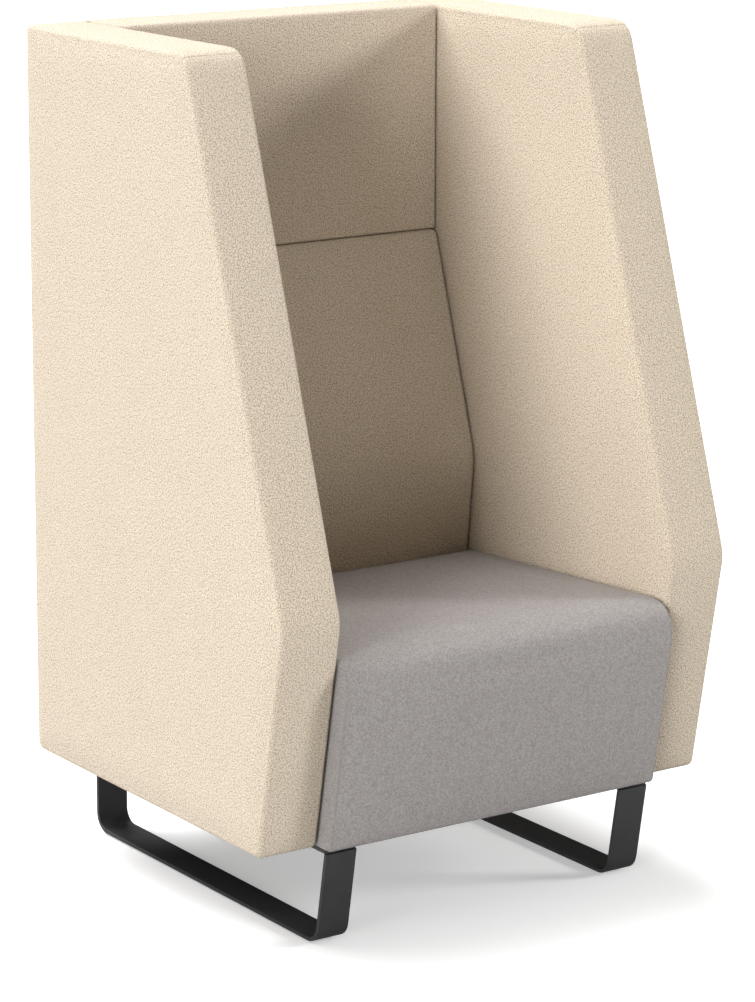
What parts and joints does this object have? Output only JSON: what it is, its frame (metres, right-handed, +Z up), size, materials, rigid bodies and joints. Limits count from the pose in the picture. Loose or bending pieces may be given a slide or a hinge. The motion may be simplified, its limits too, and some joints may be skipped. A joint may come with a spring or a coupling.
{
  "type": "high-back sofa",
  "caption": "Upholstered high-back sofa with tall kinked side panels, a head panel, a lumbar cushion, a grey seat and black flat-bar sled legs, for seating one person.",
  "frame": {"origin": "on the floor, below the middle of the overall width and depth", "axes": "+Z up, the seat faces -Y, +X to the right of someone looking at the front"},
  "size_m": [0.815, 0.7319, 1.312],
  "materials": {
    "cream_fabric": "cream felted wool cloth",
    "grey_fabric": "grey-taupe plain weave",
    "foam": "open-cell polyurethane foam",
    "felt": "needled fibre felt",
    "webbing": "elastic webbing",
    "dust_cloth": "black nonwoven cloth",
    "timber": "planed beech",
    "plywood": "birch plywood",
    "black_bar": "satin black powder coat",
    "zinc_steel": "zinc-plated steel",
    "spring_steel": "oiled spring steel",
    "glide_plastic": "moulded black plastic"
  },
  "bodies": {
    "root": {"back_bottom_rail": "timber", "back_left_stile": "timber", "back_right_stile": "timber", "back_seam_rail": "timber", "back_top_rail": "timber", "back_webbing": "webbing", "floor_glides": "glide_plastic", "frame_bolts": "zinc_steel", "head_board": "plywood", "head_cover": "cream_fabric", "head_foam": "foam", "insert_nuts": "zinc_steel", "left_side_bottom_rail": "timber", "left_side_cover": "cream_fabric", "left_side_edge_foam": "foam", "left_side_front_lower_stile": "timber", "left_side_front_upper_stile": "timber", "left_side_inner_board": "plywood", "left_side_inner_foam": "foam", "left_side_joint_board": "plywood", "left_side_outer_board": "plywood", "left_side_outer_foam": "foam", "left_side_rear_stile": "timber", "left_side_top_rail": "timber", "left_sled_frame": "black_bar", "left_sled_top_bar": "black_bar", "leg_bolts": "zinc_steel", "lumbar_cover": "cream_fabric", "lumbar_foam": "foam", "rear_board": "plywood", "rear_cover": "cream_fabric", "right_side_bottom_rail": "timber", "right_side_cover": "cream_fabric", "right_side_edge_foam": "foam", "right_side_front_lower_stile": "timber", "right_side_front_upper_stile": "timber", "right_side_inner_board": "plywood", "right_side_inner_foam": "foam", "right_side_joint_board": "plywood", "right_side_outer_board": "plywood", "right_side_outer_foam": "foam", "right_side_rear_stile": "timber", "right_side_top_rail": "timber", "right_sled_frame": "black_bar", "right_sled_top_bar": "black_bar", "seat_corner_blocks": "timber", "seat_cover": "grey_fabric", "seat_dust_cover": "dust_cloth", "seat_foam": "foam", "seat_front_foam": "foam", "seat_front_rail": "timber", "seat_left_rail": "timber", "seat_rear_rail": "timber", "seat_right_rail": "timber", "seat_springs": "spring_steel", "side_bolts": "zinc_steel", "side_tee_nuts": "zinc_steel", "spring_clips": "spring_steel", "spring_felt": "felt"}
  },
  "joints": []
}
